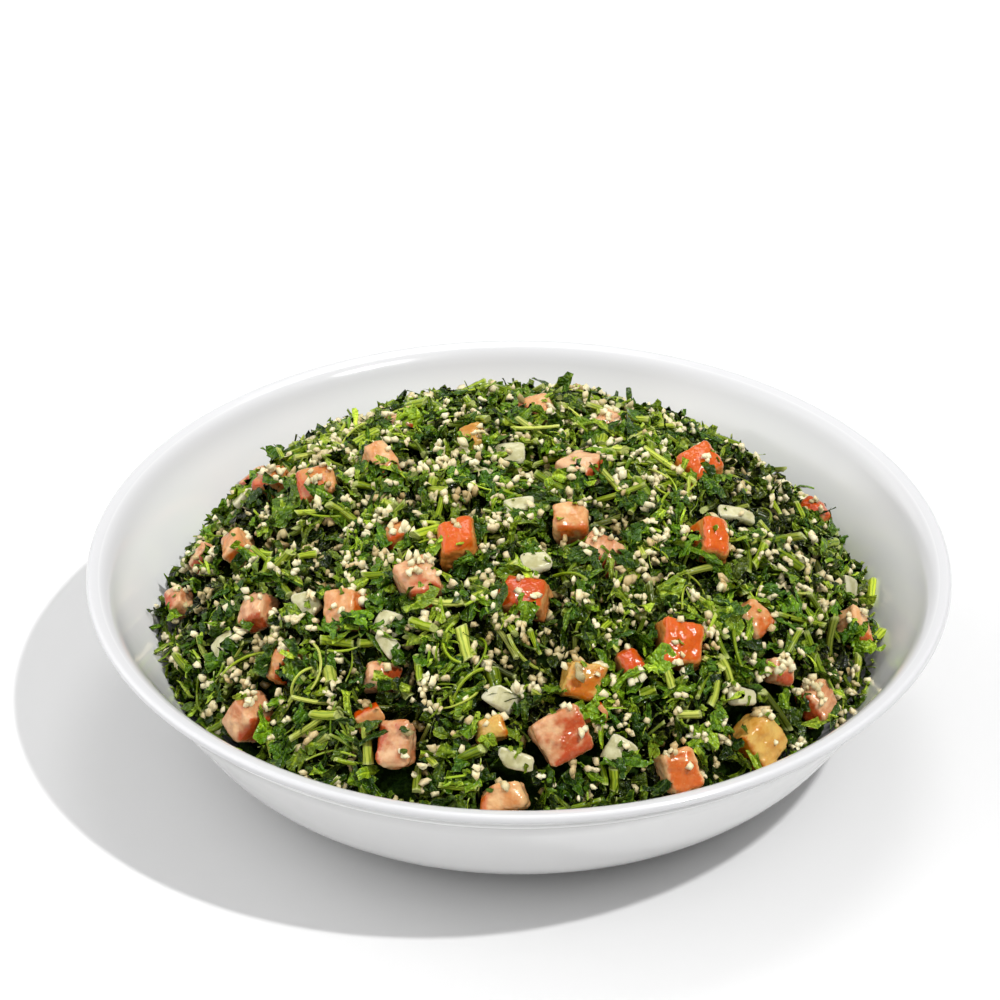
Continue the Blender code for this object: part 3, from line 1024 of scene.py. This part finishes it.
LEAF_WEIGHTS = {
    "parsley_sprigs": (4, 4, 2.8, 1.2, 0),
    "parsley_chopped": (3.5, 4, 2.6, 1.6, 0.2),
    "parsley_curled": (3, 3, 2.4, 2.8, 1.6),
    "parsley_shreds": (0, 1, 2, 4, 5),
    "parsley_crumbs": (0, 1, 2, 4, 4),
}
STEM_CUTS = (
    # radius and length, in millimetres
    (0.8, 13), (0.7, 17), (0.9, 9), (1.0, 11), (1.1, 7), (1.2, 8), (1.3, 6), (1.4, 8),
    (1.5, 5), (1.7, 4), (0.9, 14), (0.8, 8), (1.2, 5), (0.8, 19), (0.6, 10), (0.7, 7),
)


def make_templates(rng):
    """The small shapes of each kind, modelled once and laid many times."""
    select_none()
    between = rng.uniform
    return {
        "parsley_sprigs": [
            ruffled_leaf(rng, length * MM, between(0.6, 0.8) * length * MM,
                         between(2.4, 3.8) * MM, between(-90, 90), between(20, 110))
            for length in (5, 6, 6, 7, 7, 8, 8, 9, 9, 10, 10, 11, 12, 13)
        ],
        "parsley_chopped": [
            leaf_bit(rng, rng.choice((9, 10, 11)), between(3.5, 6.5) * MM,
                     between(2.4, 4.2) * MM, between(0.05, 0.3),
                     rng.choice((-1, 1)) * between(0.2, 0.8) * MM,
                     between(-80, 80), between(20, 120))
            for _ in range(16)
        ],
        "parsley_curled": [
            leaf_ribbon(rng, between(5, 11) * MM, between(1.3, 2.6) * MM,
                        between(-90, 90), between(40, 150), between(-110, 110))
            for _ in range(16)
        ],
        "parsley_shreds": [
            stalk(rng, between(0.3, 0.6) * MM, between(3, 9) * MM, 5, 4, 0.0,
                  between(-90, 90), between(0.4, 1), 0.45)
            for _ in range(12)
        ],
        "stems": [
            stalk(rng, radius * MM, length * MM, 8, 5, between(0.02, 0.1),
                  between(-35, 35), between(0.8, 1), between(0.7, 1))
            for radius, length in STEM_CUTS
        ],
        "tendrils": [
            stalk(rng, between(0.32, 0.5) * MM, between(10, 24) * MM, 5, 11, 0.0,
                  between(-150, 150), between(0.5, 1))
            for _ in range(8)
        ],
        "bulgur": [
            grain(rng, between(2.0, 2.8) * MM, between(1.7, 2.2) * MM, parts)
            for parts in (1, 1, 1, 1, 1, 2, 2, 2, 2, 3, 3, 3, 4, 5)
        ],
        "parsley_crumbs": [
            leaf_ribbon(rng, between(1.1, 2.6) * MM, between(0.7, 1.4) * MM,
                        between(-120, 120), between(20, 120), between(-60, 60))
            for _ in range(8)
        ],
        "tomato_scraps": [scrap(rng, length * MM, 4.2 * MM) for length in (4.5, 5, 5.5)],
        "onion_scraps": [scrap(rng, length * MM, 4.4 * MM) for length in (5, 6, 7)],
    }


def lay_scraps(pile, templates, rng):
    """Lays the bits of tomato and onion that are too small to be nodes."""
    for kind, x, y in SCRAPS:
        _, tilt, rest, drape, proud, _ = KINDS[kind]
        template = rng.choice(templates[kind])
        pile.lay(kind, rng, template, x * MM, y * MM, (1, 1, 1), tilt, rest, drape, proud, 1.0)


def tuck_round(pile, templates, rng, name):
    """Leans leaf, stems and grain against the sides of a die, and lays a few bits on top."""
    low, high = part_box(name)
    middle, half = (low + high) / 2, (high - low) / 2
    i, j = pile.cell(np.array([middle.x, middle.y]))
    proud = max(1.5 * MM, min(4 * MM, high.z - float(pile.heap[i, j]) - 1 * MM))
    for _ in range(int(6 + TUCKED_BITS * (half.x + half.y))):
        kind = rng.choices(TUCKED, (5, 4, 4, 2, 1))[0]
        angle = rng.uniform(-math.pi, math.pi)
        if rng.random() < 0.35:
            angle = rng.gauss(-0.5 * math.pi, 0.6)
        template = rng.choice(templates[kind])
        lean = math.radians(rng.uniform(20, 65)) if kind.startswith("parsley") else 0.3
        reach = 0.35 * float(np.ptp(template.points[:, 1])) * math.cos(lean)
        x = middle.x + (0.85 * half.x + reach) * math.cos(angle)
        y = middle.y + (0.85 * half.y + reach) * math.sin(angle)
        away = math.sin(lean)
        up = Vector((math.cos(angle) * away, math.sin(angle) * away, math.cos(lean)))
        drape = KINDS[kind][3]
        on_dice = 0.12 if kind == "stems" else 0.36
        pile.lay(kind, rng, template, x, y, tone_of(rng, kind), 14, 0.72, drape, proud, on_dice, up)
    grains, crumbs = STUCK.get(name, (1, 2))
    for kind, count in (("bulgur", grains), ("parsley_crumbs", crumbs)):
        for _ in range(count):
            x = middle.x + rng.uniform(-0.8, 0.8) * half.x
            y = middle.y + rng.uniform(-0.9, 0.6) * half.y
            template = rng.choice(templates[kind][:8])
            pile.lay(kind, rng, template, x, y, tone_of(rng, kind), 20, 0.8, 0, 2 * MM, 1.0)


def tone_of(rng, kind):
    """A colour for one bit of a kind."""
    if kind == "bulgur":
        return tone_from(rng, BULGUR_TONES, (3, 4, 4, 0.6), 0.08)
    if kind in LEAF_WEIGHTS:
        return tone_from(rng, LEAF_TONES, LEAF_WEIGHTS[kind])
    return tone_from(rng, STEM_TONES, (3, 4, 3, 1))


def lay_heap(pile, templates, rng, dice):
    """Lays everything, in three layers: mostly leaf, then all kinds, then what lies on top."""
    clusters = [spot(rng, HEAP_RADIUS) for _ in range(CLUSTERS)]
    for number, layer in enumerate(LAYERS):
        pile.layer_shade = LAYER_SHADES[number]
        if number == 2:
            lay_scraps(pile, templates, rng)
            for name in dice:
                tuck_round(pile, templates, rng, name)
        order = []
        for kind, share in layer.items():
            order += [kind] * int(share * KINDS[kind][0])
        rng.shuffle(order)
        for kind in order:
            lay_one(pile, templates, rng, kind, clusters, number)


def lay_one(pile, templates, rng, kind, clusters, number):
    """Lays one bit, in the first of a few places that takes it."""
    _, tilt, rest, drape, proud, tries = KINDS[kind]
    if number == 2:
        tries = 1
        tilt *= 1.25
    for _ in range(LAY_TRIES):
        template = rng.choice(templates[kind])
        tone = tone_of(rng, kind)
        chance = rng.random()
        if kind == "bulgur":
            on_dice = 1.0 if chance < 0.1 else 0.15
        elif kind in LEAF_WEIGHTS:
            on_dice = 0.4 if chance < 0.12 else 0.2
        else:
            on_dice = 0.3 if chance < 0.15 else 0.1
        if kind == "bulgur" and rng.random() < CLUSTER_SHARE:
            x, y = rng.choice(clusters)
            x += rng.gauss(0, CLUSTER_SPREAD)
            y += rng.gauss(0, CLUSTER_SPREAD)
        else:
            x, y = roomiest(rng, pile, tries)
        if math.hypot(x, y) > HEAP_RADIUS + 1 * MM:
            continue
        skipped = GRAIN_SKIPPED + GRAIN_SKIPPED_BACK * y / HEAP_RADIUS
        if kind == "bulgur" and rng.random() < skipped:
            continue
        if pile.lay(kind, rng, template, x, y, tone, tilt, rest, drape, proud, on_dice):
            return


def make_core():
    """The heap's solid, drawn in under its surface and roughened: what shows in deep gaps, in a
    near-black finish that is painted shade.
    """
    select_none()
    core = add_piece("heap_core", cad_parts["tabbouleh_heap"].data.copy())
    edit(core)
    bpy.ops.mesh.remove_doubles(threshold=MERGE)
    done()
    apply_modifier(core, "REMESH", mode="VOXEL", voxel_size=CORE_GRAIN)
    apply_modifier(core, "DISPLACE", strength=-(CORE_DEPTH - 0.3 * MM), mid_level=0)
    apply_modifier(core, "REMESH", mode="VOXEL", voxel_size=CORE_GRAIN)
    crumbs = bpy.data.textures.new("crumbs", "CLOUDS")
    crumbs.noise_scale = 3.2 * MM
    apply_modifier(core, "DISPLACE", texture=crumbs, strength=2.2 * MM, mid_level=0.5)
    core.data.polygons.foreach_set("use_smooth", np.ones(len(core.data.polygons), bool))
    return core


# --- Materials of the greens and the grain


def parsley_finish(name, rough, gloss):
    """Wet crinkled leaf: a lighter midrib and side veins, puffed between them, and light rims that
    are partly the paler cut edge and partly painted highlight.
    """
    made, tree, shader = new_finish(name, IOR=1.45, Specular_IOR_Level=gloss, Roughness=rough)
    coords = object_coords(tree)
    tone = attribute(tree, "tone", "Color")
    flat = add_node(tree, "ShaderNodeUVMap", uv_map="flat").outputs["UV"]
    along, across, _ = parts_of(tree, flat)
    across = maths(tree, "ABSOLUTE", across)
    patch = noise(tree, coords, 380, 3)
    fine = noise(tree, coords, 1000, 4, 0.65)
    slope = minus(tree, times(tree, along, 3.2), times(tree, across, 3))
    phase = maths(tree, "FRACT", plus(tree, slope, times(tree, patch, 1.5)))
    off_vein = maths(tree, "ABSOLUTE", minus(tree, phase, 0.5))
    side_vein = remap(tree, off_vein, 0.02, 0.2, 1, 0)
    midrib = remap(tree, across, 0.03, 0.12, 1, 0)
    vein = maths(tree, "MAXIMUM", times(tree, side_vein, 0.8), midrib)
    light = blend(tree, 1.0, tone, (1.9, 1.7, 1.7), "MULTIPLY")
    light = blend(tree, 0.1, light, (0.5, 0.62, 0.05))
    dark = blend(tree, 1.0, tone, (0.5, 0.6, 0.6), "MULTIPLY")
    colour = blend(tree, remap(tree, patch, 0.38, 0.62), dark, tone)
    share = times(tree, vein, remap(tree, fine, 0.38, 0.6, 0.05, 0.8))
    colour = blend(tree, share, colour, light)
    # Light rims: partly the paler cut edge, partly a painted highlight.
    edge = remap(tree, attribute(tree, "edge"), 0.6, 1.0, 0, 0.55)
    edge = times(tree, edge, remap(tree, fine, 0.45, 0.6))
    colour = blend(tree, edge, colour, blend(tree, 0.3, light, (0.5, 0.62, 0.06)))
    swell = noise(tree, coords, 460, 1.2)
    ruck = noise(tree, coords, 1500, 1.5)
    puff = plus(tree, times(tree, swell, 2.0), times(tree, ruck, 0.25))
    puff = minus(tree, puff, times(tree, vein, 0.3))
    cover(tree, shader, colour, puff, 1.0, 0.0013)
    return made


def stem_finish():
    """Juicy stem: lengthwise ridges painted paler and grooves painted darker, as painted light and
    shade, and paler cut ends.
    """
    made, tree, shader = new_finish(
        "stem_green", Roughness=0.2, IOR=1.4, Specular_IOR_Level=0.35
    )
    coords = object_coords(tree)
    tone = attribute(tree, "tone", "Color")
    flat = add_node(tree, "ShaderNodeUVMap", uv_map="flat").outputs["UV"]
    around = parts_of(tree, flat)["Y"]
    # Painted light and shade: the ridges are painted paler and the grooves darker.
    pale = blend(tree, 1.0, tone, (1.2, 1.12, 1.4), "MULTIPLY")
    deep = blend(tree, 1.0, tone, (0.5, 0.6, 0.45), "MULTIPLY")
    patch = noise(tree, coords, 300, 4)
    around = plus(tree, around, times(tree, patch, 0.12))
    ridges = maths(tree, "SINE", times(tree, around, 6 * math.pi))
    ridge = remap(tree, ridges, -0.95, -0.1)
    colour = blend(tree, ridge, deep, pale)
    colour = blend(tree, remap(tree, patch, 0.35, 0.7, 0, 0.45), colour, tone)
    end = remap(tree, attribute(tree, "end"), 0.5, 1, 0, 0.7)
    colour = blend(tree, end, colour, (0.46, 0.5, 0.17))
    relief = plus(tree, times(tree, ridge, 0.5), noise(tree, coords, 600, 2))
    cover(tree, shader, colour, relief, 0.6, 0.0004)
    return made


def juicy_finish(name, rough, ior, gloss, depth, spread, reach):
    """A wet material that light goes into: how much of it, and how far in each colour."""
    return new_finish(
        name, Roughness=rough, IOR=ior, Specular_IOR_Level=gloss,
        Subsurface_Weight=depth, Subsurface_Radius=spread, Subsurface_Scale=reach,
    )


def bulgur_finish():
    """Soaked cracked wheat: pale cream, moist, with a darker skin in places."""
    made, tree, shader = juicy_finish("bulgur_cream", 0.3, 1.4, 0.5, 0.2, (1.0, 0.8, 0.5), 0.001)
    coords = object_coords(tree)
    tone = attribute(tree, "tone", "Color")
    skin = blend(tree, 1.0, tone, (0.88, 0.76, 0.6), "MULTIPLY")
    patch = noise(tree, coords, 500, 3)
    colour = blend(tree, remap(tree, patch, 0.45, 0.7, 0, 0.8), tone, skin)
    cover(tree, shader, colour, noise(tree, coords, 1400, 3), 0.6, 0.0002)
    return made


def core_finish():
    """Packed leaf painted near black as painted shade, seen only in the deep gaps."""
    made, tree, shader = new_finish("packed_leaf_painted_shade", Roughness=0.5, IOR=1.4, Specular_IOR_Level=0.05)
    coords = object_coords(tree)
    patch = remap(tree, noise(tree, coords, 500, 4), 0.4, 0.65)
    colour = blend(tree, patch, (0.004, 0.012, 0.001), (0.018, 0.04, 0.003))
    cover(tree, shader, colour, noise(tree, coords, 900, 3), 1.0, 0.0006)
    return made


# --- Tomato and onion

TOMATO_LOOKS = {
    # tone: (skin, flesh, paler heart)
    "orange": ((0.58, 0.085, 0.001), (0.56, 0.16, 0.015), (0.64, 0.29, 0.075)),
    "red": ((0.52, 0.06, 0.0), (0.48, 0.13, 0.02), (0.58, 0.29, 0.1)),
    "salmon": ((0.52, 0.1, 0.008), (0.54, 0.2, 0.05), (0.7, 0.43, 0.2)),
    "pink": ((0.44, 0.06, 0.01), (0.48, 0.17, 0.06), (0.68, 0.42, 0.22)),
    "amber": ((0.48, 0.12, 0.002), (0.47, 0.2, 0.022), (0.6, 0.38, 0.09)),
}


def tomato_finish(tone):
    """Cut tomato: glossy skin on one face, wet flesh with paler walls on the others."""
    skin, flesh, heart = TOMATO_LOOKS[tone]
    made, tree, shader = juicy_finish(
        f"cut_tomato_{tone}", 0.14, 1.45, 0.55, 0.2, (1.0, 0.35, 0.15), 0.0012
    )
    coords = object_coords(tree)
    grainwise = add_node(
        tree, "ShaderNodeVectorMath", {0: coords, 1: (1.0, 0.45, 1.3)}, operation="MULTIPLY"
    ).outputs["Vector"]
    broad = noise(tree, grainwise, 260, 3)
    fine = noise(tree, coords, 700, 4)
    walls = remap(tree, cells(tree, coords, 260, "DISTANCE_TO_EDGE"), 0.0, 0.12, 1, 0)
    colour = blend(tree, remap(tree, broad, 0.3, 0.7), flesh, heart)
    deep = remap(tree, noise(tree, coords, 190, 2), 0.5, 0.7, 0, 0.45)
    colour = blend(tree, deep, colour, [0.75 * a + 0.25 * b for a, b in zip(flesh, skin)])
    colour = blend(tree, times(tree, walls, 0.2), colour, heart)
    edge = remap(tree, attribute(tree, "edge"), 0.2, 1, 0, 0.6)
    colour = blend(tree, edge, colour, heart)
    speck = remap(tree, cells(tree, coords, 900), 0.12, 0.2, 0.6, 0)
    red = blend(tree, speck, skin, flesh)
    red = blend(tree, remap(tree, fine, 0.4, 0.7, 0, 0.35), red, flesh)
    colour = blend(tree, attribute(tree, "skin"), colour, red)
    ripple = plus(tree, noise(tree, coords, 380, 1.5), times(tree, fine, 0.25))
    cover(tree, shader, colour, ripple, 0.8, 0.0009)
    return made


def onion_finish():
    """Cut onion: pale and half clear, whiter along its edges."""
    made, tree, shader = juicy_finish("cut_onion", 0.2, 1.4, 0.4, 0.3, (1.0, 0.95, 0.7), 0.002)
    coords = object_coords(tree)
    broad = noise(tree, coords, 330, 3)
    colour = blend(tree, remap(tree, broad, 0.35, 0.65), (0.42, 0.39, 0.19), (0.58, 0.55, 0.33))
    edge = remap(tree, attribute(tree, "edge"), 0.35, 1, 0, 0.6)
    colour = blend(tree, edge, colour, (0.62, 0.59, 0.42))
    cover(tree, shader, colour, noise(tree, coords, 500, 3), 0.4, 0.0005)
    return made


SKIN_UP = (
    "tomato_orange_01", "tomato_orange_05", "tomato_orange_08", "tomato_orange_12",
    "tomato_orange_39", "tomato_red_09", "tomato_red_15", "tomato_red_38",
)


def cut_corner(centre, half, rng):
    """In edit mode: slices a corner off, and closes the cut."""
    corner = Vector([rng.choice((-1, 1)) * size for size in half])
    way = Vector([side * rng.uniform(0.4, 1) for side in (corner.x, corner.y, corner.z)])
    way.normalize()
    place = centre + corner * rng.uniform(0.5, 0.68)
    take_all()
    bpy.ops.mesh.bisect(plane_co=place, plane_no=way, use_fill=True, clear_outer=True)


def make_die(name, materials, rng, lump_height, pit_height):
    """A die's CAD node, merged, cut at two corners and made soft and uneven."""
    select_none()
    piece = add_piece(f"{name}_cut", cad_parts[name].data.copy())
    low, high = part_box(name)
    centre = (low + high) / 2
    edit(piece)
    bpy.ops.mesh.remove_doubles(threshold=MERGE)
    for _ in range(2):
        cut_corner(centre, (high - low) / 2, rng)
    done()
    planes = [face.normal.copy() for face in piece.data.polygons if face.area > 4 * MM * MM]
    fine = 0.7 if name.startswith("onion") else 1.0
    apply_modifier(piece, "REMESH", mode="VOXEL", voxel_size=fine * DIE_GRAIN)

    def rounding(normal):
        flatness = max((normal.dot(plane) for plane in planes), default=1)
        return (0.985 - flatness) / 0.1

    paint(piece.data, "edge", rounding)
    lumps = bpy.data.textures.new(f"{name}_lumps", "CLOUDS")
    lumps.noise_scale = LUMP_SPACING
    apply_modifier(piece, "DISPLACE", texture=lumps, strength=lump_height, mid_level=0.5)
    pits = bpy.data.textures.new(f"{name}_pits", "CLOUDS")
    pits.noise_scale = PIT_SPACING
    apply_modifier(piece, "DISPLACE", texture=pits, strength=pit_height, mid_level=0.5)
    mesh = piece.data
    mesh.polygons.foreach_set("use_smooth", np.ones(len(mesh.polygons), bool))
    kind = name.split("_")[1] if name.startswith("tomato") else "onion"
    if kind != "onion":
        turn = rng.uniform(-0.9, -0.1) * math.pi
        outer = Vector((math.cos(turn), math.sin(turn), 0.2)).normalized()
        needed = 0.7
        if name in SKIN_UP:
            outer = Vector((0, -0.55, 0.84)).normalized()
            needed = 0.5
        paint(mesh, "skin", lambda normal: (normal.dot(outer) - needed) / 0.12)
    slot = "onion" if kind == "onion" else f"tomato_{kind}"
    finish_piece(piece, slot, materials[kind], name)


def make_dice(rng):
    materials = {tone: tomato_finish(tone) for tone in TOMATO_LOOKS}
    materials["onion"] = onion_finish()
    names = sorted(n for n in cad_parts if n.startswith(("tomato", "onion")))
    for name in names:
        uneven = ONION_UNEVEN if name.startswith("onion") else TOMATO_UNEVEN
        make_die(name, materials, rng, *uneven)
    return names, materials


# --- Setting


def make_floor():
    """A plain pale sheet under the bowl."""
    select_none()
    bpy.ops.mesh.primitive_plane_add(size=6)
    floor = named(bpy.context.object, "floor")
    made, _, shader = new_finish("pale_paper", Roughness=0.9, Specular_IOR_Level=0.0)
    shader.inputs["Base Color"].default_value = FLOOR_TONE
    floor.data.materials.append(made)


def make_light():
    """A pale studio, brighter overhead and at the left, with a soft lamp, and a key light."""
    world = bpy.data.worlds.new("studio")
    bpy.context.scene.world = world
    world.use_nodes = True
    tree = world.node_tree
    background = tree.nodes["Background"]
    background.inputs["Color"].default_value = (1, 1, 1, 1)
    sky = add_node(tree, "ShaderNodeTexCoord").outputs["Generated"]
    x, _, z = parts_of(tree, sky)
    left = remap(tree, x, -0.4, -0.75, 0, SKY_LEFT)
    left = times(tree, left, remap(tree, z, 0.12, 0.3))
    strength = plus(tree, remap(tree, z, 0.5, 0.85, SKY_LOW, SKY_TOP), left)
    facing = add_node(
        tree,
        "ShaderNodeVectorMath",
        {0: sky, 1: Vector(LAMP).normalized()},
        operation="DOT_PRODUCT",
    ).outputs["Value"]
    rim = math.cos(1.15 * LAMP_REACH), math.cos(0.85 * LAMP_REACH)
    strength = plus(tree, strength, remap(tree, facing, *rim, 0, LAMP_GLOW))
    tree.links.new(strength, background.inputs["Strength"])
    lamp = bpy.data.lights.new("key", "SUN")
    lamp.energy = SUN_POWER
    lamp.angle = SUN_WIDTH
    key = add_piece("key", lamp)
    flat = math.cos(SUN_HEIGHT)
    towards = Vector((math.cos(SUN_SIDE) * flat, math.sin(SUN_SIDE) * flat, math.sin(SUN_HEIGHT)))
    key.rotation_euler = towards.to_track_quat("Z", "Y").to_euler()


def make_camera():
    """Looks down at the bowl's rim from the front."""
    rim = Vector((0, 0, BOWL_TOP))
    back = Vector((0, -math.cos(EYE_HEIGHT), math.sin(EYE_HEIGHT)))
    right = Vector((1, 0, 0))
    up = back.cross(right)
    lens = bpy.data.cameras.new("camera")
    lens.lens = LENS
    lens.sensor_width = 36
    camera = add_piece("camera", lens)
    camera.location = rim + back * EYE_DISTANCE
    aim = rim + right * FRAME_SHIFT[0] + up * FRAME_SHIFT[1]
    camera.rotation_euler = (aim - camera.location).to_track_quat("-Z", "Y").to_euler()
    bpy.context.scene.camera = camera


def main():
    rng = random.Random(SEED)
    make_bowl()
    dice, cuts = make_dice(rng)
    core = make_core()
    finish_piece(core, "tabbouleh_heap", core_finish(), "tabbouleh_heap")
    pile = Pile(dice)
    lay_heap(pile, make_templates(rng), rng, dice)
    leaf = parsley_finish("parsley_leaf", 0.2, 0.42)
    finishes = {"stems": stem_finish(), "bulgur": bulgur_finish()}
    finishes["parsley_under"] = parsley_finish("parsley_under", 0.6, 0.1)
    finishes["tendrils"] = finishes["stems"]
    finishes["parsley_shreds"] = finishes["stems"]
    slots = {"tomato_scraps": "tomato_red", "onion_scraps": "onion"}
    finishes["tomato_scraps"] = cuts["red"]
    finishes["onion_scraps"] = cuts["onion"]
    for kind, laid in pile.laid.items():
        piece = join_laid(kind, laid, CREASES.get(kind, 85))
        finish_piece(piece, slots.get(kind, "tabbouleh_heap"), finishes.get(kind, leaf))
    make_floor()
    make_light()
    make_camera()
    bpy.context.scene.view_settings.view_transform = "Standard"
    bpy.context.view_layer.update()


main()
